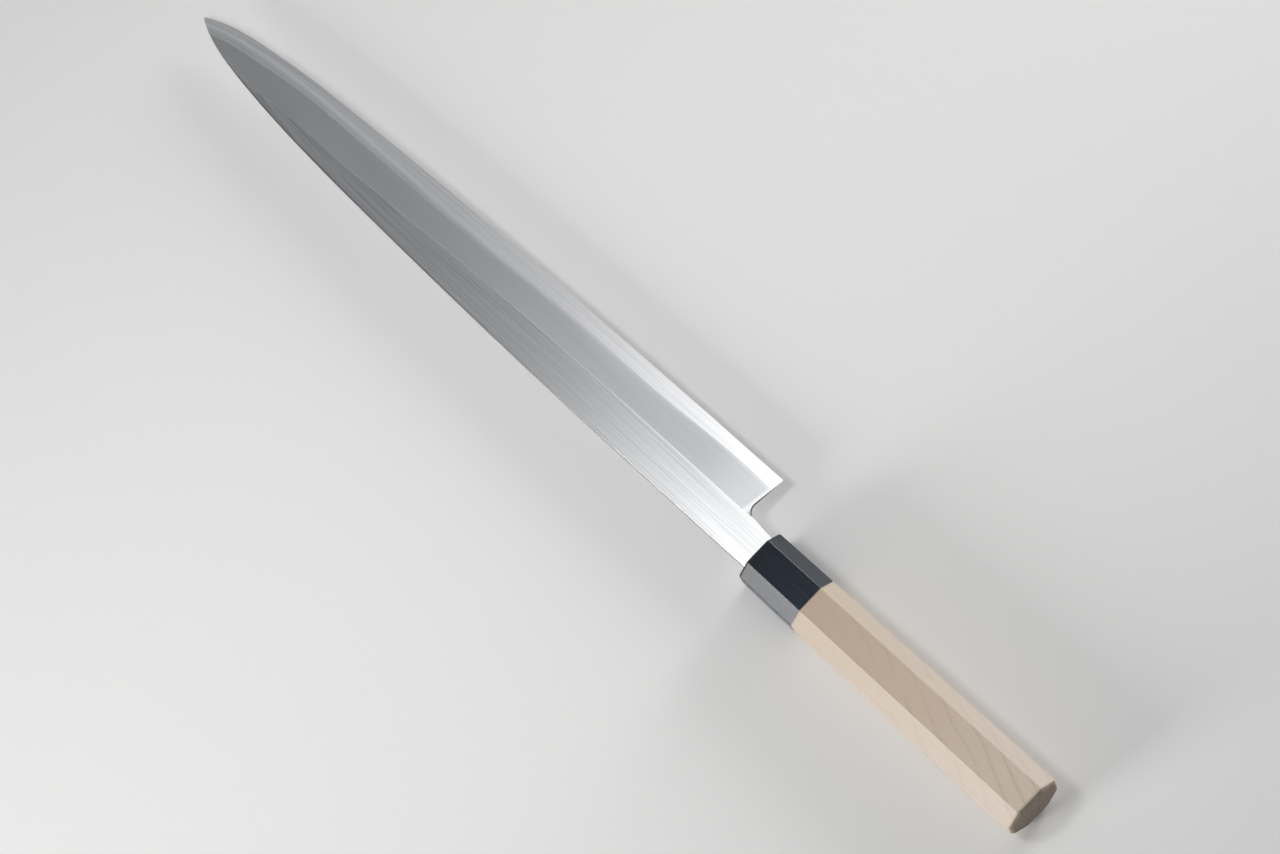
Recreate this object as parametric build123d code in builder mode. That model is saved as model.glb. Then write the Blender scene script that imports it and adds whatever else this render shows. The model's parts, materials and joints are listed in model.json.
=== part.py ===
from build123d import *
import os

# Right-handed single-bevel slicing knife, 445 mm over all, level with its hollow back down.
# Frame: +X runs from the butt to the tip, +Y from the cutting edge to the spine, and +Z out
# of the bevelled front face. The origin is the middle of the footprint, on the plane of the
# handle's lower facet, and the blade is held clear above it. All sizes are in millimetres.

# Blade outline, from the ferrule's face and from the handle's axis
tip_reach = 303.0
tip_drop = 8.4
heel_reach = 14.5
heel_drop = 27.1
neck_top = 6.85
choil_lean = 1.5
choil_top_drop = 9.3
choil_radius = 4.0

# Blade thickness, measured up from the flat of the back
neck_thickness = 4.0
mid_thickness = 3.2
tip_thickness = 1.5
edge_land = 0.12
spine_break = 0.3
choil_break = 0.8

# Hard steel welded under the soft iron
steel_thickness = 1.3
steel_start = 3.0

# Hollow ground into the back with a wheel
wheel_radius = 230.0
spine_rim = 3.5
edge_rim = 2.0
runout_start = 1.0

# Tang inside the handle
neck_inset = 8.0
shoulder_drop = 7.1
shoulder_radius = 0.8
root_radius = 1.2
tang_length = 98.0
tang_root_height = 9.0
tang_end_height = 5.5
tang_end_thickness = 2.6
tang_end_radius = 2.0
slot_clearance = 0.15
slot_extra_depth = 2.0

# Octagonal handle, from the ferrule's face to the butt
handle_length = 142.0
ferrule_length = 27.6
front_height = 22.0
front_thickness = 20.8
front_facet = 11.3
front_side = 9.0
butt_height = 25.3
butt_thickness = 22.5
butt_facet = 12.7
ridge_radius = 0.5
front_break = 0.7
butt_break = 1.5

# Wooden tenon in the ferrule's socket
tenon_diameter = 14.4
tenon_length = 17.0
socket_clearance = 0.1
socket_end_gap = 0.5

overrun = 5.0

# The bevel's inner line falls away past the heel, as a share of the way it runs on
heel_slope_share = 0.2

# The hollow deepens from its start to the heel: shares of the way and of its full depth there.
runout_shares = (
    (0.00, 0.05),
    (0.33, 0.55),
    (0.67, 0.89),
)

# Each station gives, as shares: the place from heel to tip, the spine's fall from the neck to
# the tip, the edge's rise from the heel to the tip, and the bevel's run for a rise of one.
blade_shares = (
    (0.000, 0.000, 0.000, 4.90),
    (0.230, -0.026, 0.062, 5.07),
    (0.445, 0.006, 0.152, 5.67),
    (0.608, 0.082, 0.247, 6.70),
    (0.743, 0.180, 0.358, 7.70),
    (0.841, 0.311, 0.462, 8.30),
    (0.908, 0.465, 0.592, 9.30),
    (0.949, 0.609, 0.706, 9.50),
    (0.976, 0.766, 0.833, 9.50),
    (1.000, 1.000, 1.000, 9.50),
)

# The weld line wanders as forging left it: shares of the tip's reach and the steel's thickness.
weld_shares = (
    (0.05, 1.00),
    (0.13, 0.91),
    (0.22, 1.06),
    (0.30, 1.05),
    (0.41, 0.94),
    (0.48, 0.98),
    (0.58, 0.89),
    (0.66, 0.71),
    (0.78, 0.52),
    (0.90, 0.42),
    (1.00, 0.38),
)

# Places of the main planes in the part's frame
front_x = (handle_length - tip_reach) / 2
axis_y = (heel_drop - butt_height / 2) / 2
back_z = (front_thickness - neck_thickness) / 2
plan_plane = Plane((front_x, axis_y, back_z))
side_plane = Plane((front_x, axis_y, back_z), x_dir=(1, 0, 0), z_dir=(0, -1, 0))

blade_length = tip_reach - heel_reach
tip_fall = neck_top + tip_drop
tip_rise = heel_drop - tip_drop
blade_span = heel_drop + neck_top + overrun


def station_x(place_share):
    """Distance of a station from the ferrule's face."""
    return heel_reach + place_share * blade_length


def spine_y(fall_share):
    """Height of the spine at a station, from the handle's axis."""
    return neck_top - fall_share * tip_fall


def edge_y(rise_share):
    """Height of the cutting edge at a station, from the handle's axis."""
    return rise_share * tip_rise - heel_drop


def section_plane(reach, height):
    """Plane across the knife, facing the tip, with its X along +Y and its Y along +Z."""
    return Plane((front_x + reach, axis_y, height), x_dir=(0, 1, 0), z_dir=(1, 0, 0))


spine_points = [(0, neck_top)] + [(station_x(s), spine_y(f)) for s, f, _, _ in blade_shares[1:]]
edge_points = [(station_x(s), edge_y(r)) for s, _, r, _ in blade_shares]


def bevel_points(level):
    """Points of the bevel's surface at a height above the edge's land."""
    return [(station_x(s), edge_y(r) + run * level) for s, _, r, run in blade_shares]


def tang_corners(grow, depth):
    """Corners from the choil round the tang to the spine, grown outwards, seen from the front."""
    shoulder = -neck_inset - grow
    root = tang_root_height / 2 + grow
    end = tang_end_height / 2 + grow
    return [
        (heel_reach + choil_lean, -choil_top_drop - grow),
        (shoulder, -shoulder_drop - grow),
        (shoulder, -root),
        (-depth, -end),
        (-depth, end),
        (shoulder, root),
        (shoulder, neck_top + grow),
        (0, neck_top + grow),
    ]


def tang_sides(grow, depth):
    """Corners of the tang's taper in thickness, grown outwards, seen from the edge's side."""
    thinning = (neck_thickness - tang_end_thickness) / 2
    return [
        (-neck_inset, -grow),
        (-depth, thinning - grow),
        (-depth, neck_thickness - thinning + grow),
        (-neck_inset, neck_thickness + grow),
        (0, neck_thickness + grow),
    ]


tang_radii = [
    shoulder_radius,
    root_radius,
    tang_end_radius,
    tang_end_radius,
    root_radius,
    shoulder_radius,
]

# Forged blank: the outline seen from the front, then the taper of its thickness
with BuildPart() as blade_blank:
    with BuildSketch(plan_plane):
        with BuildLine():
            Spline(*spine_points)
            Spline(*edge_points)
            FilletPolyline(
                (heel_reach, -heel_drop),
                *tang_corners(0, tang_length),
                radius=[choil_radius] + tang_radii,
            )
        make_face()
    extrude(amount=neck_thickness)
    with BuildSketch(side_plane):
        with BuildLine():
            ThreePointArc(
                (0, neck_thickness),
                (tip_reach / 2, mid_thickness),
                (tip_reach, tip_thickness),
            )
            Polyline(
                (tip_reach, tip_thickness),
                (tip_reach + overrun, tip_thickness),
                (tip_reach + overrun, 0),
                *tang_sides(0, tang_length),
            )
        make_face()
    extrude(amount=blade_span, both=True, mode=Mode.INTERSECT)
    spine_edges = edges().sort_by(SortBy.LENGTH)[-2:]
    choil_edges = (
        edges()
        .filter_by_position(Axis.X, front_x - neck_inset, front_x + heel_reach + choil_lean)
        .filter_by_position(Axis.Y, axis_y - heel_drop, axis_y - shoulder_drop)
        .filter_by_position(Axis.Z, back_z + mid_thickness, back_z + neck_thickness)
    )
    fillet(choil_edges, choil_break)
    fillet(spine_edges, spine_break)

# Waste above the wide bevel: ruled from the edge up to a line past the front face
with BuildPart() as bevel_waste:
    for level in (0, neck_thickness):
        points = bevel_points(level)
        start_x, start_y = points[0]
        end_x, end_y = points[-1]
        with BuildSketch(plan_plane.offset(edge_land + level)):
            with BuildLine():
                Spline(*points)
                Polyline(
                    (end_x, end_y),
                    (end_x + overrun, end_y),
                    (end_x + overrun, -heel_drop - overrun),
                    (start_x - overrun, -heel_drop - overrun),
                    (start_x - overrun, start_y - overrun * heel_slope_share),
                    (start_x, start_y),
                )
            make_face()
    loft(ruled=True)

# Waste under the back: hollow of one wheel's curve between the flat rims, running out before
# the ferrule. Its sections are joined by straight rulings, which keeps both rims their width.
runout_length = heel_reach - runout_start
hollow_sections = [(runout_start + way * runout_length, 0, 0, deep) for way, deep in runout_shares]
hollow_sections += [(station_x(s), fall, rise, 1) for s, fall, rise, _ in blade_shares[:-2]]
with BuildPart() as hollow_waste:
    for reach, fall, rise, deep in hollow_sections:
        upper = (spine_y(fall) - spine_rim, 0)
        lower = (edge_y(rise) + edge_rim, 0)
        chord = upper[0] - lower[0]
        with BuildSketch(section_plane(reach, back_z)):
            with BuildLine():
                SagittaArc(lower, upper, deep * chord**2 / (8 * wheel_radius))
                Polyline(upper, (upper[0], -overrun), (lower[0], -overrun), lower)
            make_face()
    loft(ruled=True)

# Zone of the hard steel: under the wandering weld line, from in front of the ferrule
with BuildPart() as steel_zone:
    weld_points = [(share * tip_reach, height * steel_thickness) for share, height in weld_shares]
    with BuildSketch(side_plane):
        with BuildLine():
            Polyline((steel_start, -overrun), (steel_start, steel_thickness), weld_points[0])
            Spline(*weld_points)
            Polyline(
                weld_points[-1],
                (tip_reach + overrun, weld_points[-1][1]),
                (tip_reach + overrun, -overrun),
                (steel_start, -overrun),
            )
        make_face()
    extrude(amount=blade_span, both=True)

with BuildPart() as ground_blade:
    add(blade_blank.part)
    add(bevel_waste.part, mode=Mode.SUBTRACT)
    add(hollow_waste.part, mode=Mode.SUBTRACT)

with BuildPart() as iron_body:
    add(ground_blade.part)
    add(steel_zone.part, mode=Mode.SUBTRACT)

with BuildPart() as edge_steel:
    add(ground_blade.part)
    add(steel_zone.part, mode=Mode.INTERSECT)

# Slot that the tang was burnt into, open at the ferrule's face
with BuildPart() as tang_slot:
    slot_depth = tang_length + slot_extra_depth
    corners = tang_corners(slot_clearance, slot_depth)
    with BuildSketch(plan_plane.offset(-overrun)):
        with BuildLine():
            FilletPolyline(*corners, radius=tang_radii)
            Line(corners[-1], corners[0])
        make_face()
    extrude(amount=neck_thickness + 2 * overrun)
    with BuildSketch(side_plane):
        with BuildLine():
            Polyline(
                (0, neck_thickness + slot_clearance),
                (overrun, neck_thickness + slot_clearance),
                (overrun, -slot_clearance),
                *tang_sides(slot_clearance, slot_depth),
            )
        make_face()
    extrude(amount=blade_span, both=True, mode=Mode.INTERSECT)


def corner_plane(side, level):
    """Plane that takes one long corner off the handle; its Z points into the waste."""
    front_middle = front_thickness / 2
    butt_middle = butt_thickness / 2
    ridge_front = Vector(
        front_x,
        axis_y + side * front_facet / 2,
        front_middle + level * front_thickness / 2,
    )
    lower_front = Vector(
        front_x,
        axis_y + side * front_height / 2,
        front_middle + level * front_side / 2,
    )
    ridge_butt = Vector(
        front_x - handle_length,
        axis_y + side * butt_facet / 2,
        butt_middle + level * butt_thickness / 2,
    )
    along = ridge_butt - ridge_front
    across = lower_front - ridge_front
    return Plane(ridge_front, x_dir=along, z_dir=across.cross(along) * (side * level))


# Handle before it is cut in two: a bar that tapers both ways, with its four corners planed off
with BuildPart() as handle_bar:
    with BuildSketch(Plane((front_x, axis_y, 0), x_dir=(1, 0, 0), z_dir=(0, -1, 0))):
        with BuildLine():
            Polyline(
                (0, 0),
                (0, front_thickness),
                (-handle_length, butt_thickness),
                (-handle_length, 0),
                close=True,
            )
        make_face()
    extrude(amount=butt_height, both=True)
    with BuildSketch(Plane((front_x, axis_y, 0))):
        with BuildLine():
            Polyline(
                (0, front_height / 2),
                (-handle_length, butt_height / 2),
                (-handle_length, -butt_height / 2),
                (0, -front_height / 2),
                close=True,
            )
        make_face()
    extrude(amount=butt_thickness + front_thickness, mode=Mode.INTERSECT)
    for side, level in ((1, 1), (1, -1), (-1, 1), (-1, -1)):
        split(bisect_by=corner_plane(side, level), keep=Keep.BOTTOM)

joint_plane = section_plane(-ferrule_length, back_z + neck_thickness / 2)

with BuildPart() as horn_ferrule:
    add(handle_bar.part)
    split(bisect_by=joint_plane, keep=Keep.TOP)
    joint_face, *_, front_face = faces().sort_by(Axis.X)
    chamfer(front_face.edges(), front_break)
    fillet(edges() - joint_face.edges(), ridge_radius)
    add(tang_slot.part, mode=Mode.SUBTRACT)
    with BuildSketch(joint_plane):
        Circle(tenon_diameter / 2 + socket_clearance)
    extrude(amount=tenon_length + socket_end_gap, mode=Mode.SUBTRACT)

with BuildPart() as wooden_handle:
    add(handle_bar.part)
    split(bisect_by=joint_plane, keep=Keep.BOTTOM)
    butt_face, *_, joint_face = faces().sort_by(Axis.X)
    chamfer(butt_face.edges(), butt_break)
    fillet(edges() - joint_face.edges(), ridge_radius)
    with BuildSketch(joint_plane):
        Circle(tenon_diameter / 2)
    extrude(amount=tenon_length)
    add(tang_slot.part, mode=Mode.SUBTRACT)

os.makedirs("parts", exist_ok=True)
iron_body.part.label = "blade_iron_body"
export_step(iron_body.part, "parts/blade_iron_body.step")
edge_steel.part.label = "blade_edge_steel"
export_step(edge_steel.part, "parts/blade_edge_steel.step")
horn_ferrule.part.label = "horn_ferrule"
export_step(horn_ferrule.part, "parts/horn_ferrule.step")
wooden_handle.part.label = "wooden_handle"
export_step(wooden_handle.part, "parts/wooden_handle.step")
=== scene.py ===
import json
import math

import bpy
from mathutils import Matrix, Vector

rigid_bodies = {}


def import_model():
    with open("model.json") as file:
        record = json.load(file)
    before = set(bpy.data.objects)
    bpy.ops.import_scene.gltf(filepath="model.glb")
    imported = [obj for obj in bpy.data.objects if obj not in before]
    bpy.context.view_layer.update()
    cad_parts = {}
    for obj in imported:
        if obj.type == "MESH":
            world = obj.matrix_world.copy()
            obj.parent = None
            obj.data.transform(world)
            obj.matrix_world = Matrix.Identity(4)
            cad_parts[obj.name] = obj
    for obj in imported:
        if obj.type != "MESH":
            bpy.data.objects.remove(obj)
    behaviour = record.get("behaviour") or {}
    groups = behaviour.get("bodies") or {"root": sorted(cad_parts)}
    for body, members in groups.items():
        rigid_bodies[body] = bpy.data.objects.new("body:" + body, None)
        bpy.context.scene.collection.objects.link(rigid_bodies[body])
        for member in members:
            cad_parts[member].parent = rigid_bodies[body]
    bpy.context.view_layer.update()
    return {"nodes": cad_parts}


for leftover in list(bpy.data.objects):
    bpy.data.objects.remove(leftover)

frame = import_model()

scene = bpy.context.scene
scene.view_settings.view_transform = "Standard"


# Camera, at the photograph's angle: its focal length in the photograph's pixels, its place, the
# way it looks, and the way that runs to the right in the picture

PHOTO_WIDTH = 1280
FOCAL_PIXELS = 13402.0
CAMERA_PLACE = Vector((-1.3495, 0.4271, 4.7954))
LOOK = Vector((0.26815, -0.08530, -0.95959))
IMAGE_RIGHT = Vector((-0.70993, -0.69083, -0.13698))
FARTHEST_SEEN = 100.0


# The knife, in metres: butt, joint of wood and horn, ferrule's face, heel, tip, and the height
# of the blade's back

BUTT_X = -0.2225
JOINT_X = -0.1081
FRONT_X = -0.0805
HEEL_X = -0.066
TIP_X = 0.2225
BACK_Z = 0.0084

# How far the choil leans forward for each metre towards the spine
CHOIL_LEAN = 0.0843

# The weld line's height over the back, in mm, at shares of the way from the ferrule to the tip
WELD_HEIGHTS = (
    (0.05, 1.30), (0.13, 1.18), (0.22, 1.38), (0.30, 1.365), (0.41, 1.22), (0.48, 1.27),
    (0.58, 1.16), (0.66, 0.92), (0.78, 0.68), (0.90, 0.55), (1.00, 0.49),
)

# Full scale of the curve that holds those heights, and the height of the line's ripple, in mm
WELD_SCALE = 2.0
WELD_RIPPLE = 0.16
MM_PER_METRE = 1000.0


# Studio: a pale floor under the handle, two low softboxes beside the knife and a small one over
# its heel. The walls and ceiling are what the camera, the metal and the horn see; rough surfaces
# get an even light. Away from the knife the floor turns into an even backdrop of the tone that
# it has close by.

FLOOR_REACH = 14.0
FLOOR_COLOUR = (0.86, 0.86, 0.85, 1.0)
FLOOR_ROUGHNESS = 0.9
BACKDROP_COLOUR = (0.70, 0.70, 0.695, 1.0)
BACKDROP_START, BACKDROP_FULL = 0.29, 0.58
EVEN_LIGHT = (0.34, 0.34, 0.345, 1.0)

# Height of a direction as a share of straight up, and the studio's tone there
SKY_BANDS = (
    (0.02, (1.00, 1.00, 1.00, 1.0)),
    (0.22, (0.45, 0.45, 0.455, 1.0)),
    (0.62, (0.38, 0.38, 0.385, 1.0)),
    (0.84, (0.34, 0.345, 0.355, 1.0)),
    (0.95, (0.32, 0.33, 0.35, 1.0)),
)

# Tone of the walls past either end of the knife, and the range of directions where it comes in
END_WALLS = (0.82, 0.82, 0.83, 1.0)
END_START, END_FULL = 0.48, 0.64

# Name, place, point that it faces, size, watts, beam in degrees
SOFTBOXES = (
    ("spine_side_softbox", (0.105, 1.05, 0.262), (-0.02, 0.0, 0.01), (0.34, 0.44), 1.80, 80),
    ("edge_side_softbox", (0.105, -1.05, 0.28), (-0.02, 0.0, 0.01), (0.34, 0.44), 1.68, 80),
    ("heel_softbox", (0.085, 0.20, 0.65), (-0.07, 0.0, 0.01), (0.12, 0.16), 0.88, 180),
)


# Directions
TO_TIP = (1.0, 0.0, 0.0)
TO_BUTT = (-1.0, 0.0, 0.0)
TO_SPINE = (0.0, 1.0, 0.0)
TO_EDGE = (0.0, -1.0, 0.0)
UP = (0.0, 0.0, 1.0)
DOWN = (0.0, 0.0, -1.0)

# Facings of the two slanted facets on the octagon's upper half
SLANTED_FACETS = ((0.0, 0.741, 0.672), (0.0, -0.741, 0.672))

# Facing half way between the flat and the bevel
SHINOGI_FACING = (0.0, -0.093, 0.996)


# Marks of the stones on the metal, clouds in its haze and waves of the weld line, as cells per
# metre along and across the blade

BROAD_LINES = (5, 420, 420)
MIDDLE_LINES = (20, 2000, 2000)
FINE_LINES = (45, 5200, 5200)
HAZE_CLOUDS = (12, 150, 150)
WELD_WAVES = (90, 260, 0)

# Bend of those lines towards the tip: mm across the blade, its straight share, power of the rest
IRON_BEND = (-15.0, 0.0, 6.0)
STEEL_BEND = (18.7, 0.33, 7.0)

# Ranges of noise over which the lines and clouds turn from none to full
LINE_RANGE = (0.36, 0.64)
BROAD_RANGE = (0.35, 0.65)
CLOUD_RANGE = (0.3, 0.7)

# Shares of the middle and fine lines in the relief, its depth in metres, and how strongly the
# gloss spreads across the lines: not at all at nought, fully at one
MIDDLE_RELIEF, FINE_RELIEF = 0.6, 0.4
METAL_RELIEF_DEPTH = 0.00002
METAL_GLOSS_SPREAD = 0.9


# Tones of the soft iron, from heel to tip where there are two

IRON_LINE_HEEL = (0.41, 0.415, 0.42, 1)
IRON_LINE_TIP = (0.335, 0.34, 0.345, 1)
IRON_BETWEEN_LINES = (0.60, 0.605, 0.61, 1)
IRON_BROAD_LINE = (0.52, 0.52, 0.525, 1)
# Painted highlight on the flat by the heel
IRON_FLAT_HIGHLIGHT = (0.68, 0.685, 0.69, 1)
HAZE_HEEL = (0.345, 0.35, 0.355, 1)
HAZE_TIP = (0.475, 0.48, 0.485, 1)
# Painted highlight on the haze by the choil
HAZE_HEEL_HIGHLIGHT = (0.43, 0.435, 0.44, 1)
HAZE_CLOUD = (0.64, 0.645, 0.65, 1)
HAZE_AT_WELD = (0.86, 0.865, 0.87, 1)
# Painted highlight along the ridge between flat and bevel
SHINOGI_HIGHLIGHT = (0.88, 0.88, 0.89, 1)
# Painted highlight in a strip along the choil and on its rounded corner
CHOIL_HIGHLIGHT_STRIP = (0.60, 0.605, 0.61, 1)
CHOIL_HIGHLIGHT_ROUND = (0.95, 0.95, 0.955, 1)
# Painted shade on the narrow walls and the spine's corner
WALL_SHADE = (0.15, 0.153, 0.157, 1)

# Tones of the edge steel
STEEL_LINE = (0.60, 0.605, 0.61, 1)
STEEL_BETWEEN_LINES = (0.83, 0.835, 0.84, 1)
STEEL_BROAD_LINE = (0.73, 0.73, 0.735, 1)
STEEL_ONWARD = (0.86, 0.86, 0.865, 1)
STEEL_WELD_HEEL = (0.56, 0.565, 0.57, 1)
STEEL_WELD_TIP = (0.90, 0.90, 0.90, 1)

# Tones of the horn, and the painted shading that multiplies them: lighter by the joint, darker by
# the ferrule's face
HORN_DARK = (0.003, 0.0065, 0.011, 1)
HORN_CLOUD = (0.009, 0.014, 0.022, 1)
HORN_FIBRE = (0.022, 0.027, 0.034, 1)
# Painted shade on the ridges between facets
HORN_RIDGE_SHADE = (0.001, 0.0012, 0.0015, 1)
HORN_SEAM = (0.012, 0.003, 0.002, 1)
HORN_SHADING_BY_JOINT = (1.2, 1.4, 1.6, 1)
HORN_SHADING_BY_FRONT = (0.1, 0.4, 0.7, 1)

# Tones of the wood: its faces, painted sheen on slanted facets, painted shade towards the joint,
# its seam and the painted highlight on its ridges
WOOD_PALE = (0.70, 0.58, 0.475, 1)
WOOD_DEEPER = (0.645, 0.54, 0.445, 1)
WOOD_LATE_GROWTH = (0.47, 0.385, 0.295, 1)
WOOD_FIBRE = (0.48, 0.38, 0.29, 1)
WOOD_SPECKLE = (0.80, 0.70, 0.60, 1)
WOOD_PORE = (0.33, 0.25, 0.18, 1)
# Painted sheen on the slanted facets: less saturated
WOOD_SLANT_SHEEN = (0.955, 0.975, 1.015, 1)
# Painted shade towards the joint, for level and for slanted facets
WOOD_JOINT_SHADE_TOP = (0.49, 0.365, 0.26, 1)
WOOD_JOINT_SHADE_SLANT = (0.50, 0.41, 0.315, 1)
WOOD_SEAM = (0.16, 0.07, 0.045, 1)
# Painted highlight on the ridges
WOOD_RIDGE_HIGHLIGHT = (0.76, 0.65, 0.54, 1)

# Tones of the end grain, darker in itself and deepened by painted shade: its broken edge and face,
# late growth, vessels, a painted dark line at the cut corner, and a rim partly worn, partly painted
# highlight
# Painted shade on the broken edge of the butt
END_BREAK_SHADE = (0.21, 0.158, 0.098, 1)
# The end grain's own darker tone, deepened by painted shade
END_FACE = (0.145, 0.108, 0.078, 1)
END_LATE_GROWTH = (0.085, 0.062, 0.04, 1)
END_VESSEL = (0.29, 0.222, 0.168, 1)
# Painted dark line of shade at the cut corner
END_CORNER_SHADE = (0.05, 0.034, 0.018, 1)
# Rim at the butt, partly worn, partly painted highlight
END_RIM_HIGHLIGHT = (0.88, 0.78, 0.64, 1)


# Places of a mix node's sockets: its share, its two vectors or colours, and its result
MIX_SHARE = 0
MIX_VECTORS, MIX_VECTOR_RESULT = (4, 5), 1
MIX_COLOURS, MIX_COLOUR_RESULT = (6, 7), 2


class Bench:
    """Short calls for adding nodes to one tree."""

    def __init__(self, tree):
        """Takes a tree and empties it."""
        self.tree = tree
        self.tree.nodes.clear()

    def node(self, kind, **settings):
        """Adds a node of a kind, with its settings."""
        node = self.tree.nodes.new(kind)
        for key, value in settings.items():
            setattr(node, key, value)
        return node

    def feed(self, socket, value):
        """Links a socket to another node's output, or sets it to a plain value."""
        if isinstance(value, bpy.types.NodeSocket):
            self.tree.links.new(value, socket)
        else:
            socket.default_value = value

    def maths(self, operation, first, second=0.0, third=0.0):
        """One sum on up to three numbers."""
        node = self.node("ShaderNodeMath", operation=operation)
        for socket, value in zip(node.inputs, (first, second, third)):
            self.feed(socket, value)
        return node.outputs[0]

    def times(self, first, second):
        """Product of two numbers."""
        return self.maths("MULTIPLY", first, second)

    def spread(self, value, low, high, to_low=0.0, to_high=1.0, smooth=False):
        """Maps a range onto another one, held at its ends."""
        node = self.node("ShaderNodeMapRange")
        node.interpolation_type = "SMOOTHSTEP" if smooth else "LINEAR"
        limits = {"From Min": low, "From Max": high, "To Min": to_low, "To Max": to_high}
        for name, number in limits.items():
            node.inputs[name].default_value = number
        self.feed(node.inputs["Value"], value)
        return node.outputs[0]

    def blend(self, share, first, second, mode="MIX"):
        """Mixes two colours: none of the second at a share of nought, all of it at one."""
        node = self.node("ShaderNodeMix", data_type="RGBA", blend_type=mode)
        self.feed(node.inputs[MIX_SHARE], share)
        for place, colour in zip(MIX_COLOURS, (first, second)):
            self.feed(node.inputs[place], colour)
        return node.outputs[MIX_COLOUR_RESULT]

    def seen_directly(self):
        """One for rays that leave the camera, a glossy surface or a clear one, none for rough light."""
        rays = self.node("ShaderNodeLightPath").outputs
        seen = rays["Is Camera Ray"]
        for kind in ("Is Glossy Ray", "Is Transmission Ray"):
            seen = self.maths("MAXIMUM", seen, rays[kind])
        return seen


class Recipe(Bench):
    """Bench for one material, with the place and the facing of each point of the surface."""

    def __init__(self, name):
        """Makes a material of that name with one shader."""
        self.material = bpy.data.materials.new(name)
        self.material.use_nodes = True
        super().__init__(self.material.node_tree)
        self.out = self.node("ShaderNodeOutputMaterial")
        self.shader = self.node("ShaderNodeBsdfPrincipled")
        self.feed(self.out.inputs["Surface"], self.shader.outputs[0])
        self.place = self.node("ShaderNodeTexCoord").outputs["Object"]
        self.facing = self.node("ShaderNodeNewGeometry").outputs["Normal"]

    def stretched(self, per_metre, turn=(0, 0, 0), shift=(0, 0, 0)):
        """Place scaled by cells per metre, and turned. The shift only sets patterns apart."""
        node = self.node("ShaderNodeMapping")
        self.feed(node.inputs["Vector"], self.place)
        node.inputs["Scale"].default_value = per_metre
        node.inputs["Rotation"].default_value = turn
        node.inputs["Location"].default_value = shift
        return node.outputs[0]

    def noise(self, per_metre, detail=4.0, rough=0.55, distort=0.0, shift=(0, 0, 0)):
        """Soft noise with so many cells per metre along each axis."""
        node = self.node("ShaderNodeTexNoise")
        self.feed(node.inputs["Vector"], self.stretched(per_metre, shift=shift))
        node.inputs["Scale"].default_value = 1.0
        node.inputs["Detail"].default_value = detail
        node.inputs["Roughness"].default_value = rough
        node.inputs["Distortion"].default_value = distort
        return node.outputs["Fac"]

    def shared(self, direction, other):
        """Part of one direction that points along another."""
        node = self.node("ShaderNodeVectorMath", operation="DOT_PRODUCT")
        self.feed(node.inputs[0], direction)
        self.feed(node.inputs[1], other)
        return node.outputs["Value"]

    def along(self, axis):
        """Part of the surface's facing that points along an axis."""
        return self.shared(self.facing, axis)

    def level(self):
        """One where the surface faces straight up or down, nought where it is upright."""
        return self.maths("ABSOLUTE", self.along(UP))

    def part(self, axis):
        """One of the coordinates of the place."""
        node = self.node("ShaderNodeSeparateXYZ")
        self.feed(node.inputs[0], self.place)
        return node.outputs[axis]

    def bump(self, height, distance, strength, onto=None):
        """Facing tilted by a relief of a depth in metres, on the surface's own facing or another."""
        node = self.node("ShaderNodeBump")
        node.inputs["Strength"].default_value = strength
        node.inputs["Distance"].default_value = distance
        self.feed(node.inputs["Height"], height)
        if onto is not None:
            self.feed(node.inputs["Normal"], onto)
        return node.outputs[0]

    def finish(self, **sockets):
        """Sets the shader's sockets and hands over the material."""
        for name, value in sockets.items():
            self.feed(self.shader.inputs[name.replace("_", " ")], value)
        return self.material


def bent_place(recipe, across_mm, straight, power):
    """Place whose lines follow the blade's curve: y less a straight and a power share of a bend."""
    share = recipe.spread(recipe.part("X"), HEEL_X, TIP_X)
    curve = recipe.times(recipe.maths("POWER", share, power), 1.0 - straight)
    curve = recipe.maths("MULTIPLY_ADD", share, straight, curve)
    bend = recipe.times(curve, across_mm / MM_PER_METRE)
    joined = recipe.node("ShaderNodeCombineXYZ")
    recipe.feed(joined.inputs["X"], recipe.part("X"))
    recipe.feed(joined.inputs["Y"], recipe.maths("SUBTRACT", recipe.part("Y"), bend))
    recipe.feed(joined.inputs["Z"], recipe.part("Z"))
    return joined.outputs[0]


def polish_lines(recipe):
    """Three sizes of line left by stones drawn lengthwise: long, narrow noise, coarse to fine."""
    broad = recipe.noise(BROAD_LINES, detail=2.0)
    middle = recipe.noise(MIDDLE_LINES, detail=3.0, rough=0.6, shift=(3, 1, 0))
    fine = recipe.noise(FINE_LINES, detail=2.0, shift=(7, 5, 2))
    return broad, middle, fine


def line_relief(recipe, middle, fine):
    """Relief of the polish lines: a share of the middle ones and the rest of the fine ones."""
    return recipe.maths("ADD", recipe.times(middle, MIDDLE_RELIEF), recipe.times(fine, FINE_RELIEF))


def across_lines(recipe):
    """Direction on the surface at right angles to the knife's length, along which gloss spreads."""
    node = recipe.node("ShaderNodeVectorMath", operation="CROSS_PRODUCT")
    recipe.feed(node.inputs[0], recipe.facing)
    recipe.feed(node.inputs[1], TO_TIP)
    return node.outputs[0]


# Ridge between flat and bevel, with a painted highlight: radius of its rounding in metres, the
# samples taken for it, and the ranges of direction that tell a rounded corner, one near the ridge's
# facing, and one that bows towards the edge

SHINOGI_RADIUS = 0.0007
SHINOGI_SAMPLES = 6
ROUNDED_RANGE = (0.9998, 0.997)
RIDGE_RANGE = (0.990, 0.9945)
BOWED_RANGE = (0.004, 0.03)


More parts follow.
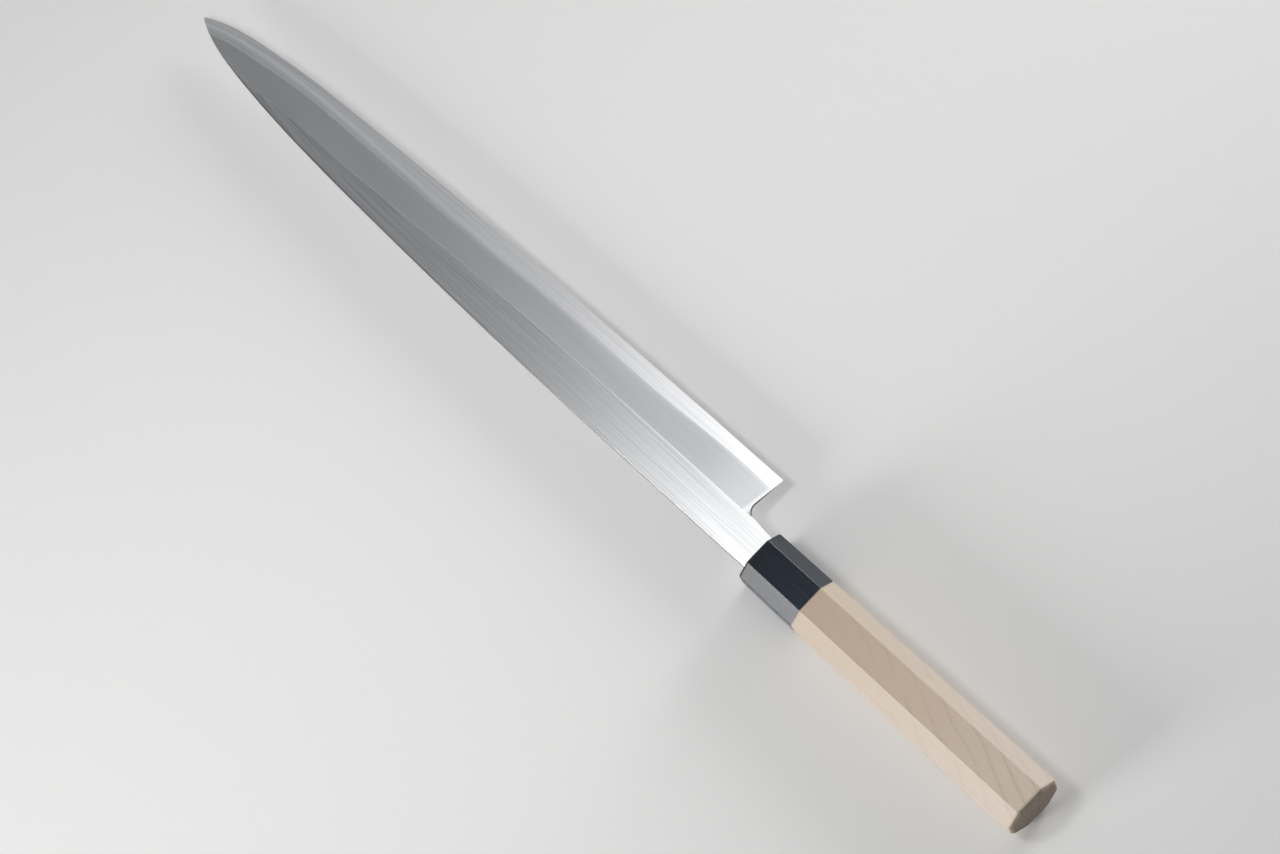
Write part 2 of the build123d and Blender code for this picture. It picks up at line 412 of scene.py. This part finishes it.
def shinogi_glint(recipe):
    """Share of a painted highlight on the ridge between flat and bevel, nought away from it, and the
    facing rounded there.
    """
    corner = recipe.node("ShaderNodeBevel", samples=SHINOGI_SAMPLES)
    corner.inputs["Radius"].default_value = SHINOGI_RADIUS
    rounded = corner.outputs[0]
    ridge_glint = recipe.spread(recipe.shared(rounded, recipe.facing), *ROUNDED_RANGE, smooth=True)
    ridge = recipe.spread(recipe.shared(rounded, SHINOGI_FACING), *RIDGE_RANGE, smooth=True)
    bowed = recipe.spread(recipe.shared(rounded, TO_EDGE), *BOWED_RANGE, smooth=True)
    ridge = recipe.times(ridge, bowed)
    facing = recipe.node("ShaderNodeMix", data_type="VECTOR")
    recipe.feed(facing.inputs[MIX_SHARE], ridge)
    for place, direction in zip(MIX_VECTORS, (recipe.facing, rounded)):
        recipe.feed(facing.inputs[place], direction)
    return recipe.times(ridge_glint, ridge), facing.outputs[MIX_VECTOR_RESULT]


# Painted shade on the narrow walls: how level a surface is where they are full and where they end,
# how far one faces the spine where the spine's corner comes in and is full, and the share of each
WALL_RANGE, WALL_SHARE = (0.35, 0.6), 0.85
SPINE_CORNER_RANGE, SPINE_CORNER_SHARE = (0.12, 0.5), 0.72


def shaded_walls(recipe, tone):
    """Painted shade: a darker tone on the narrow walls of the blade, spine, neck, choil and heel, and
    on the spine's corner.
    """
    wall = recipe.spread(recipe.level(), *WALL_RANGE, WALL_SHARE, 0.0, smooth=True)
    corner = recipe.spread(
        recipe.along(TO_SPINE), *SPINE_CORNER_RANGE, 0.0, SPINE_CORNER_SHARE, smooth=True
    )
    return recipe.blend(recipe.maths("MAXIMUM", wall, corner), tone, WALL_SHADE)


# Painted highlight in a strip along the choil, in metres past the heel: where it comes in and where
# it fades, and the range of facing where the rounded corner turns to the butt
STRIP_START = (0.0004, 0.0012)
STRIP_END = (0.0025, 0.0034)
STRIP_TURN = (0.05, 0.3)


def choil_highlight(recipe, tone):
    """Painted highlight: a brighter tone in a strip along the choil, where its corner is rounded."""
    across = recipe.maths("MULTIPLY_ADD", recipe.part("Y"), -CHOIL_LEAN, recipe.part("X"))
    fading, gone = (HEEL_X + reach for reach in STRIP_END)
    coming, full = (HEEL_X + reach for reach in STRIP_START)
    strip = recipe.spread(across, fading, gone, 1.0, 0.0, smooth=True)
    strip = recipe.times(strip, recipe.spread(across, coming, full))
    turning = recipe.spread(recipe.along(TO_BUTT), *STRIP_TURN)
    return recipe.blend(strip, tone, recipe.blend(turning, CHOIL_HIGHLIGHT_STRIP, CHOIL_HIGHLIGHT_ROUND))


def above_weld(recipe):
    """Height in millimetres over the weld line: a smooth curve along the blade, finely rippled."""
    curve = recipe.node("ShaderNodeFloatCurve")
    points = curve.mapping.curves[0].points
    for share, height in WELD_HEIGHTS[1:-1]:
        points.new(share, height / WELD_SCALE)
    for end in (0, -1):
        share, height = WELD_HEIGHTS[end]
        points[end].location = (share, height / WELD_SCALE)
    curve.mapping.update()
    recipe.feed(curve.inputs["Value"], recipe.spread(recipe.part("X"), FRONT_X, TIP_X))
    over_back = recipe.maths("MULTIPLY_ADD", recipe.part("Z"), MM_PER_METRE, -MM_PER_METRE * BACK_Z)
    over = recipe.maths("SUBTRACT", over_back, recipe.times(curve.outputs[0], WELD_SCALE))
    ripple = recipe.noise(WELD_WAVES, detail=3.0)
    centred = recipe.maths("SUBTRACT", over, WELD_RIPPLE / 2)
    return recipe.maths("MULTIPLY_ADD", ripple, WELD_RIPPLE, centred)


# Soft iron: facing where the bevel comes in, places along the knife where its tones change, where a
# painted highlight brightens it by the heel, and where the painted highlight on its ridge grows fainter
BEVEL_RANGE = (0.05, 0.09)
IRON_CHANGE_START, IRON_CHANGE_END = HEEL_X + 0.045, TIP_X - 0.03
HEEL_HIGHLIGHT_START, HEEL_HIGHLIGHT_END = HEEL_X + 0.004, HEEL_X + 0.03
GLINT_FADES, GLINT_FAINT = HEEL_X + 0.05, HEEL_X + 0.08

# Shares of the broad lines, of the painted highlight on the flat at the heel and of the clouds in the
# haze
IRON_BROAD_SHARE, IRON_HIGHLIGHT_SHARE, IRON_CLOUD_SHARE = 0.35, 0.1, 0.25

# Glow over the weld line: where it ends, in mm, and the shares of the change of tones between
# which it grows from one strength to the other
IRON_GLOW_HEIGHT = 0.38
IRON_GLOW_WAY, IRON_GLOW_STRENGTH = (0.2, 0.9), (0.2, 0.6)

# Strength of the painted highlight on the ridge near the heel and past it
GLINT_STRENGTH = (0.8, 0.55)

# Roughness on the flat's lines and between them, that of the haze outside and inside its
# clouds, how much of the relief the bevel keeps, and the relief's strength
FLAT_ROUGHNESS, HAZE_ROUGHNESS = (0.38, 0.31), (0.50, 0.54)
BEVEL_RELIEF = 0.35
IRON_RELIEF_STRENGTH = 0.6


def soft_iron_material():
    """Satin flat with polish lines, hazier on the bevel, told apart by which way it faces."""
    r = Recipe("soft_iron_polished")
    over_weld = above_weld(r)
    r.place = bent_place(r, *IRON_BEND)
    broad, middle, fine = polish_lines(r)
    lines = r.spread(middle, *LINE_RANGE)
    cloud = r.noise(HAZE_CLOUDS, detail=3.0)
    bevel = r.spread(r.along(TO_EDGE), *BEVEL_RANGE, smooth=True)
    onward = r.spread(r.part("X"), IRON_CHANGE_START, IRON_CHANGE_END)
    # Painted highlight, strongest by the heel
    heel_highlight = r.spread(r.part("X"), HEEL_HIGHLIGHT_START, HEEL_HIGHLIGHT_END, 1.0, 0.0, smooth=True)

    flat = r.blend(lines, r.blend(onward, IRON_LINE_HEEL, IRON_LINE_TIP), IRON_BETWEEN_LINES)
    flat = r.blend(r.spread(broad, *BROAD_RANGE, 0.0, IRON_BROAD_SHARE), flat, IRON_BROAD_LINE)
    flat = r.blend(r.times(heel_highlight, IRON_HIGHLIGHT_SHARE), flat, IRON_FLAT_HIGHLIGHT)

    haze = r.blend(onward, HAZE_HEEL, HAZE_TIP)
    haze = r.blend(heel_highlight, haze, HAZE_HEEL_HIGHLIGHT)
    haze = r.blend(r.spread(cloud, *CLOUD_RANGE, 0.0, IRON_CLOUD_SHARE), haze, HAZE_CLOUD)
    glow = r.spread(over_weld, 0.0, IRON_GLOW_HEIGHT, 1.0, 0.0, smooth=True)
    glow = r.times(glow, r.spread(onward, *IRON_GLOW_WAY, *IRON_GLOW_STRENGTH))
    haze = choil_highlight(r, r.blend(glow, haze, HAZE_AT_WELD))

    # Painted highlight on the rounded ridge between flat and bevel
    ridge_glint, rounded = shinogi_glint(r)
    fainter = r.spread(r.part("X"), GLINT_FADES, GLINT_FAINT, *GLINT_STRENGTH, smooth=True)
    colour = r.blend(r.times(ridge_glint, fainter), r.blend(bevel, flat, haze), SHINOGI_HIGHLIGHT)

    flat_rough = r.spread(lines, 0.0, 1.0, *FLAT_ROUGHNESS)
    haze_rough = r.spread(cloud, *CLOUD_RANGE, *HAZE_ROUGHNESS)
    rough = r.maths("ADD", flat_rough, r.times(bevel, r.maths("SUBTRACT", haze_rough, flat_rough)))
    relief = r.times(line_relief(r, middle, fine), r.spread(bevel, 0.0, 1.0, 1.0, BEVEL_RELIEF))
    return r.finish(
        Base_Color=shaded_walls(r, colour),
        Metallic=1.0,
        Roughness=rough,
        Anisotropic=METAL_GLOSS_SPREAD,
        Tangent=across_lines(r),
        Normal=r.bump(relief, METAL_RELIEF_DEPTH, IRON_RELIEF_STRENGTH, onto=rounded),
    )


# Edge steel: facing where the back comes in, and where it grows brighter along the blade
BACK_RANGE = (0.2, 0.6)
STEEL_CHANGE_START, STEEL_CHANGE_END = HEEL_X + 0.11, TIP_X - 0.07

# Shares of the broad lines and of the brighter tone onward
STEEL_BROAD_SHARE, STEEL_ONWARD_SHARE = 0.4, 0.3

# Haze under the weld line: the depth where it starts, in mm, its share at the line, and how much
# of it is left at the heel
STEEL_HAZE_DEPTH, STEEL_HAZE_SHARE, STEEL_HAZE_AT_HEEL = 0.25, 0.75, 0.3

# Roughness on the lines and between them, how much less it is on the back and more in the haze,
# and the relief's strength
STEEL_ROUGHNESS, BACK_SMOOTHER, HAZE_ROUGHER = (0.42, 0.35), 0.18, 0.06
STEEL_RELIEF_STRENGTH = 0.5


def edge_steel_material():
    """Brighter hard steel, with crisp lines on the bevel and a mirror-like hollow and rim."""
    r = Recipe("edge_steel_polished")
    over_weld = above_weld(r)
    r.place = bent_place(r, *STEEL_BEND)
    broad, middle, fine = polish_lines(r)
    lines = r.spread(middle, *LINE_RANGE)
    back = r.spread(r.along(DOWN), *BACK_RANGE, smooth=True)
    onward = r.spread(r.part("X"), STEEL_CHANGE_START, STEEL_CHANGE_END)

    tone = r.blend(lines, STEEL_LINE, STEEL_BETWEEN_LINES)
    tone = r.blend(r.spread(broad, *BROAD_RANGE, 0.0, STEEL_BROAD_SHARE), tone, STEEL_BROAD_LINE)
    tone = r.blend(r.times(onward, STEEL_ONWARD_SHARE), tone, STEEL_ONWARD)

    haze = r.spread(over_weld, -STEEL_HAZE_DEPTH, 0.0, 0.0, STEEL_HAZE_SHARE, smooth=True)
    haze = r.times(haze, r.maths("SUBTRACT", 1.0, back))
    haze = r.times(haze, r.spread(onward, 0.0, 1.0, STEEL_HAZE_AT_HEEL, 1.0))
    tone = r.blend(haze, tone, r.blend(onward, STEEL_WELD_HEEL, STEEL_WELD_TIP))

    rough = r.spread(lines, 0.0, 1.0, *STEEL_ROUGHNESS)
    rough = r.maths("SUBTRACT", rough, r.times(back, BACK_SMOOTHER))
    rough = r.maths("MULTIPLY_ADD", haze, HAZE_ROUGHER, rough)
    return r.finish(
        Base_Color=shaded_walls(r, tone),
        Metallic=1.0,
        Roughness=rough,
        Anisotropic=METAL_GLOSS_SPREAD,
        Tangent=across_lines(r),
        Normal=r.bump(line_relief(r, middle, fine), METAL_RELIEF_DEPTH, STEEL_RELIEF_STRENGTH),
    )


# How squarely a point faces the nearest facet: nothing but ridge below, nothing but facet above
RIDGE_FACING_RANGE = (0.94, 0.998)


def facet_ridges(recipe):
    """One where the surface turns between two facets of the octagon, none on the facets."""
    nearest = recipe.level()
    for facing in SLANTED_FACETS + (TO_SPINE, TO_TIP):
        nearest = recipe.maths("MAXIMUM", nearest, recipe.maths("ABSOLUTE", recipe.along(facing)))
    return recipe.spread(nearest, *RIDGE_FACING_RANGE, 1.0, 0.0, smooth=True)


# Horn: cells per metre of its patterns, where its fibres come in and their share, and the width
# and share of its seam
HORN_FIBRES = (40, 900, 900)
HORN_CLOUDS = (70, 160, 160)
HORN_PORES = (900, 2600, 2600)
HORN_FIBRE_RANGE, HORN_FIBRE_SHARE = (0.55, 0.8), 0.5
HORN_SEAM_WIDTH, HORN_SEAM_SHARE = 0.0005, 0.7

# Range of the fibres' noise over which the roughness of horn and wood changes, and the wood's tone
FIBRE_RANGE = (0.3, 0.7)

# The horn's roughness, how much more it is on the ridges, its gloss, the shares of fibres and
# pores in its relief, and that relief's depth in metres and strength
HORN_ROUGHNESS, HORN_RIDGE_ROUGHER = (0.20, 0.26), 0.42
HORN_GLOSS = 0.56
HORN_FIBRE_RELIEF, HORN_PORE_RELIEF = 0.7, 0.3
HORN_RELIEF_DEPTH, HORN_RELIEF_STRENGTH = 0.00001, 0.18


def horn_material():
    """Blue-black buffalo horn: faint lengthwise fibres, paler clouds, hand-rubbed ridges with painted
    shade, and painted shading along it.
    """
    r = Recipe("polished_horn")
    fibres = r.noise(HORN_FIBRES, rough=0.6)
    clouds = r.noise(HORN_CLOUDS, detail=3.0, distort=0.4, shift=(2, 0, 1))
    pores = r.noise(HORN_PORES, detail=1.0)
    ridges = facet_ridges(r)

    dark = r.blend(clouds, HORN_DARK, HORN_CLOUD)
    dark = r.blend(r.spread(fibres, *HORN_FIBRE_RANGE, 0.0, HORN_FIBRE_SHARE), dark, HORN_FIBRE)
    # Painted shading: lighter by the joint, darker towards the ferrule's face
    painted_shading = r.blend(r.spread(r.part("X"), JOINT_X, FRONT_X), HORN_SHADING_BY_JOINT, HORN_SHADING_BY_FRONT)
    dark = r.blend(1.0, dark, painted_shading, mode="MULTIPLY")
    # Painted shade on the ridges
    dark = r.blend(ridges, dark, HORN_RIDGE_SHADE)
    seam = r.spread(r.part("X"), JOINT_X, JOINT_X + HORN_SEAM_WIDTH, 1.0, 0.0)
    dark = r.blend(r.times(seam, HORN_SEAM_SHARE), dark, HORN_SEAM)

    rough = r.spread(fibres, *FIBRE_RANGE, *HORN_ROUGHNESS)
    rough = r.maths("MULTIPLY_ADD", ridges, HORN_RIDGE_ROUGHER, rough)
    relief = r.maths("ADD", r.times(fibres, HORN_FIBRE_RELIEF), r.times(pores, HORN_PORE_RELIEF))
    return r.finish(
        Base_Color=dark,
        Roughness=rough,
        Specular_IOR_Level=HORN_GLOSS,
        Normal=r.bump(relief, HORN_RELIEF_DEPTH, HORN_RELIEF_STRENGTH),
    )


# Wood: cells per metre of its patterns
WOOD_FIBRES = (35, 1300, 1300)
WOOD_SPECKLES = (1100, 2400, 2400)
WOOD_PORES = (260, 3000, 3000)
WOOD_STAINS = (18, 60, 60)
WOOD_VESSELS = (300, 1700, 1700)
GROWTH_FADING = (16, 110, 110)

# Ranges where those patterns come in, and their shares
WOOD_FIBRE_SHARE = 0.16
SPECKLE_RANGE, SPECKLE_SHARE = (0.5, 0.75), 0.14
PORE_RANGE, PORE_SHARE = (0.66, 0.74), 0.35
VESSEL_RANGE = (0.40, 0.66)

# Growth layers: scale of the bands, which gives about 166 of them per metre, the turn that cuts
# them at a slant, and how they wander
LAYER_SCALE = 52.0
LAYER_TURN = (0.0, 0.35, -1.19)
LAYER_WANDER = 7.0
LAYER_WANDER_SCALE = 0.30
LAYER_WANDER_DETAIL = 2.0

# Late growth: part of each band where it rises, where it fades and how much is left of it there,
# its share on the wood, how much of it the slanted and upright facets show, and on end grain
LATE_RANGE = (0.62, 1.0)
FADING_RANGE, FADED = (0.36, 0.56), 0.25
LATE_SHARE, LATE_ON_SLANT, LATE_ON_END = 0.47, 0.35, 0.75

# Facings where a facet grows level, and where the butt's end grain and its face come in, and the
# share of the painted dark line at the corner between those two
LEVEL_RANGE = (0.7, 0.95)
END_RANGE = (0.45, 0.68)
FACE_RANGE = (0.8, 0.97)
CORNER_SHARE = 0.9

# Places along the wood: where the painted shade towards the joint starts, the dark seam, the butt's
# rim and broken edge, each with its share, and how far the rim and the edge wander
JOINT_SHADE_FROM, JOINT_SHADE_SHARE = BUTT_X + 0.015, 0.70
SEAM_START, SEAM_FULL, SEAM_SHARE = JOINT_X - 0.0005, JOINT_X - 0.0001, 0.7
RIM_START, RIM_FULL, RIM_SHARE = BUTT_X + 0.0012, BUTT_X + 0.0016, 0.6
BREAK_START, BREAK_FULL, BREAK_SHARE = BUTT_X + 0.0015, BUTT_X + 0.0010, 0.88
BREAK_WANDER = 0.0006

# Share of the painted highlight on the ridges, the wood's roughness, how much less it is on the ridges,
# its gloss, the shares of fibres and pores in its relief, and that relief's depth in metres and
# strength
WOOD_RIDGE_HIGHLIGHT_SHARE = 0.25
WOOD_ROUGHNESS, WOOD_RIDGE_SMOOTHER = (0.55, 0.68), 0.12
WOOD_GLOSS = 0.35
WOOD_FIBRE_RELIEF, WOOD_PORE_RELIEF = 0.6, 0.4
WOOD_RELIEF_DEPTH, WOOD_RELIEF_STRENGTH = 0.00006, 0.5


def growth_layers(recipe):
    """Late growth of the yearly layers, as thin bands cut at a slant that fade here and there."""
    bands = recipe.node(
        "ShaderNodeTexWave", wave_type="BANDS", bands_direction="X", wave_profile="SAW"
    )
    recipe.feed(bands.inputs["Vector"], recipe.stretched((1, 1, 1), turn=LAYER_TURN))
    bands.inputs["Scale"].default_value = LAYER_SCALE
    bands.inputs["Distortion"].default_value = LAYER_WANDER
    bands.inputs["Detail"].default_value = LAYER_WANDER_DETAIL
    bands.inputs["Detail Scale"].default_value = LAYER_WANDER_SCALE
    fading = recipe.noise(GROWTH_FADING, detail=1.0, shift=(4, 2, 6))
    late = recipe.spread(bands.outputs["Fac"], *LATE_RANGE, smooth=True)
    return recipe.times(late, recipe.spread(fading, *FADING_RANGE, FADED, 1.0))


def end_grain(recipe, late):
    """End grain of the butt, darker in itself and deepened by painted shade: its face and broken edge,
    late growth, vessels and a painted dark line at the cut corner.
    """
    vessels = recipe.noise(WOOD_VESSELS, detail=3.0, rough=0.7, shift=(1, 9, 4))
    face = recipe.spread(recipe.along(TO_BUTT), *FACE_RANGE, smooth=True)
    # Painted shade on the broken edge; the face darker in itself and in painted shade
    deep = recipe.blend(face, END_BREAK_SHADE, END_FACE)
    deep = recipe.blend(recipe.times(late, LATE_ON_END), deep, END_LATE_GROWTH)
    deep = recipe.blend(recipe.spread(vessels, *VESSEL_RANGE), deep, END_VESSEL)
    # Painted dark line of shade at the corner between broken edge and face
    corner = recipe.times(recipe.spread(face, 0.0, 0.5), recipe.spread(face, 0.5, 1.0, 1.0, 0.0))
    return recipe.blend(recipe.times(corner, CORNER_SHARE), deep, END_CORNER_SHADE)


def magnolia_material():
    """Bare magnolia: growth layers cut at a slant, fine fibres, speckle, pores and end grain."""
    r = Recipe("bare_magnolia")
    late = growth_layers(r)
    fibres = r.noise(WOOD_FIBRES, rough=0.6)
    speckle = r.noise(WOOD_SPECKLES, detail=2.0, rough=0.7)
    pores = r.noise(WOOD_PORES, detail=1.0, shift=(5, 2, 8))
    stain = r.noise(WOOD_STAINS, detail=2.0)
    end = r.spread(r.along(TO_BUTT), *END_RANGE, smooth=True)
    flat_sawn = r.spread(r.level(), *LEVEL_RANGE, LATE_ON_SLANT, 1.0, smooth=True)
    slanted = r.spread(r.level(), *LEVEL_RANGE, 1.0, 0.0, smooth=True)

    strength = r.times(late, r.times(r.maths("MAXIMUM", flat_sawn, end), LATE_SHARE))
    colour = r.blend(strength, r.blend(stain, WOOD_PALE, WOOD_DEEPER), WOOD_LATE_GROWTH)
    colour = r.blend(r.spread(fibres, *FIBRE_RANGE, 0.0, WOOD_FIBRE_SHARE), colour, WOOD_FIBRE)
    colour = r.blend(r.spread(speckle, *SPECKLE_RANGE, 0.0, SPECKLE_SHARE), colour, WOOD_SPECKLE)
    colour = r.blend(r.spread(pores, *PORE_RANGE, 0.0, PORE_SHARE), colour, WOOD_PORE)
    # Painted sheen on the slanted facets
    colour = r.blend(slanted, colour, WOOD_SLANT_SHEEN, mode="MULTIPLY")
    # Painted shade, darker towards the joint
    joint_shade = r.spread(r.part("X"), JOINT_SHADE_FROM, JOINT_X, 0.0, JOINT_SHADE_SHARE)
    colour = r.blend(joint_shade, colour, r.blend(slanted, WOOD_JOINT_SHADE_TOP, WOOD_JOINT_SHADE_SLANT))
    seam = r.spread(r.part("X"), SEAM_START, SEAM_FULL, 0.0, SEAM_SHARE)
    colour = r.blend(seam, colour, WOOD_SEAM)

    broken = r.maths("MULTIPLY_ADD", stain, BREAK_WANDER, r.part("X"))
    # Rim at the butt, partly worn, partly painted highlight
    rim = r.spread(broken, RIM_START, RIM_FULL, 0.0, RIM_SHARE, smooth=True)
    colour = r.blend(r.times(end, rim), colour, END_RIM_HIGHLIGHT)
    broken = r.spread(broken, BREAK_START, BREAK_FULL, 0.0, BREAK_SHARE, smooth=True)
    colour = r.blend(r.times(end, broken), colour, end_grain(r, late))

    ridges = facet_ridges(r)
    # Painted highlight on the ridges, none on the end grain
    ridge_highlight = r.times(ridges, r.spread(end, 0.0, 1.0, WOOD_RIDGE_HIGHLIGHT_SHARE, 0.0))
    rough = r.spread(fibres, *FIBRE_RANGE, *WOOD_ROUGHNESS)
    rough = r.maths("SUBTRACT", rough, r.times(ridges, WOOD_RIDGE_SMOOTHER))
    relief = r.times(fibres, WOOD_FIBRE_RELIEF)
    relief = r.maths("SUBTRACT", relief, r.times(pores, WOOD_PORE_RELIEF))
    return r.finish(
        Base_Color=r.blend(ridge_highlight, colour, WOOD_RIDGE_HIGHLIGHT),
        Roughness=rough,
        Specular_IOR_Level=WOOD_GLOSS,
        Normal=r.bump(relief, WOOD_RELIEF_DEPTH, WOOD_RELIEF_STRENGTH),
    )


def paper_material():
    """Matt pale paper that turns into an even backdrop away from the knife."""
    r = Recipe("pale_paper")
    distance = r.node("ShaderNodeVectorMath", operation="LENGTH")
    r.feed(distance.inputs[0], r.place)
    away = r.spread(distance.outputs["Value"], BACKDROP_START, BACKDROP_FULL, smooth=True)
    backdrop = r.node("ShaderNodeEmission")
    r.feed(backdrop.inputs["Color"], BACKDROP_COLOUR)
    r.feed(backdrop.inputs["Strength"], 1.0)
    both = r.node("ShaderNodeMixShader")
    r.feed(both.inputs[0], r.times(away, r.seen_directly()))
    r.feed(both.inputs[1], r.shader.outputs[0])
    r.feed(both.inputs[2], backdrop.outputs[0])
    r.feed(r.out.inputs["Surface"], both.outputs[0])
    return r.finish(Base_Color=FLOOR_COLOUR, Roughness=FLOOR_ROUGHNESS, Specular_IOR_Level=0.0)


def make_camera():
    """Camera whose axes are the image's right, its up, and the way back to the eye."""
    data = bpy.data.cameras.new("studio_camera")
    data.lens = FOCAL_PIXELS / PHOTO_WIDTH * data.sensor_width
    data.clip_end = FARTHEST_SEEN
    camera = bpy.data.objects.new("studio_camera", data)
    back = -LOOK.normalized()
    up = back.cross(IMAGE_RIGHT).normalized()
    right = up.cross(back)
    turn = Matrix((right, up, back)).transposed().to_4x4()
    camera.matrix_world = Matrix.Translation(CAMERA_PLACE) @ turn
    scene.collection.objects.link(camera)
    scene.camera = camera


def make_floor():
    """Square floor on the plane of the handle's lower facet."""
    mesh = bpy.data.meshes.new("pale_floor")
    quarters = ((-1, -1), (1, -1), (1, 1), (-1, 1))
    corners = [(x * FLOOR_REACH, y * FLOOR_REACH, 0.0) for x, y in quarters]
    mesh.from_pydata(corners, [], [(0, 1, 2, 3)])
    floor = bpy.data.objects.new("pale_floor", mesh)
    scene.collection.objects.link(floor)
    floor.data.materials.append(paper_material())


def make_walls():
    """World that rough surfaces see as an even light, and the camera and gloss as pale walls."""
    world = bpy.data.worlds.new("studio_world")
    world.use_nodes = True
    bench = Bench(world.node_tree)
    parts = bench.node("ShaderNodeSeparateXYZ")
    bench.feed(parts.inputs[0], bench.node("ShaderNodeTexCoord").outputs["Generated"])
    sky = bench.node("ShaderNodeValToRGB")
    bands = sky.color_ramp.elements
    while len(bands) < len(SKY_BANDS):
        bands.new(1.0)
    for band, (height, colour) in zip(bands, SKY_BANDS):
        band.position = height
        band.color = colour
    bench.feed(sky.inputs[0], parts.outputs["Z"])
    lengthwise = bench.maths("ABSOLUTE", parts.outputs["X"])
    towards_end = bench.spread(lengthwise, END_START, END_FULL, smooth=True)
    walls = bench.blend(towards_end, sky.outputs[0], END_WALLS)
    glow = bench.node("ShaderNodeBackground")
    bench.feed(glow.inputs["Color"], bench.blend(bench.seen_directly(), EVEN_LIGHT, walls))
    out = bench.node("ShaderNodeOutputWorld")
    bench.feed(out.inputs["Surface"], glow.outputs[0])
    scene.world = world


def make_softboxes():
    """Lamps with a soft rectangular face, each turned towards its point on the knife."""
    for name, place, target, (width, height), watts, beam in SOFTBOXES:
        data = bpy.data.lights.new(name, "AREA")
        data.shape = "RECTANGLE"
        data.size, data.size_y = width, height
        data.energy = watts
        data.spread = math.radians(beam)
        lamp = bpy.data.objects.new(name, data)
        lamp.location = place
        lamp.rotation_mode = "QUATERNION"
        lamp.rotation_quaternion = (Vector(target) - Vector(place)).to_track_quat("-Z", "Y")
        lamp.visible_camera = False
        scene.collection.objects.link(lamp)


# Finish of each of the knife's four pieces
FINISHES = {
    "blade_iron_body": soft_iron_material,
    "blade_edge_steel": edge_steel_material,
    "horn_ferrule": horn_material,
    "wooden_handle": magnolia_material,
}

make_camera()
make_floor()
make_walls()
make_softboxes()
for node_name, make_material in FINISHES.items():
    frame["nodes"][node_name].material_slots[0].material = make_material()
